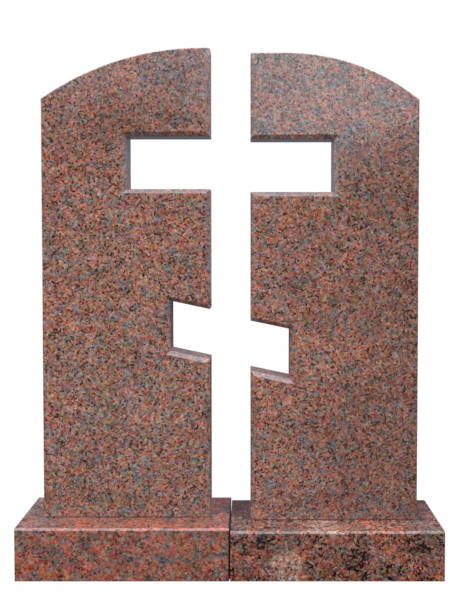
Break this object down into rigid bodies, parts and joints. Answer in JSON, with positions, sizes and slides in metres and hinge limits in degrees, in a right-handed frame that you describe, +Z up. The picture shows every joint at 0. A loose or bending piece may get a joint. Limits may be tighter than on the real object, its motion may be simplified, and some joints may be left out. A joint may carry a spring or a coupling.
{
  "type": "paired headstone",
  "caption": "Paired headstone of polished red granite: arched slabs on low plinths, notched so that the space between them has the outline of a cross with a slanted foot bar.",
  "frame": {"origin": "middle of the underside of the pair of plinths, on the ground", "axes": "+Z up, front towards -Y, +X to the viewer's right"},
  "size_m": [1.004, 0.226, 1.253],
  "materials": {
    "stele_granite": "polished, fine-grained red granite",
    "left_plinth_granite": "polished, medium-grained orange-red granite",
    "right_plinth_granite": "polished, medium-grained red granite with dark clusters"
  },
  "bodies": {
    "root": {"left_stele": "stele_granite", "right_stele": "stele_granite", "left_plinth": "left_plinth_granite", "right_plinth": "right_plinth_granite"}
  },
  "joints": []
}
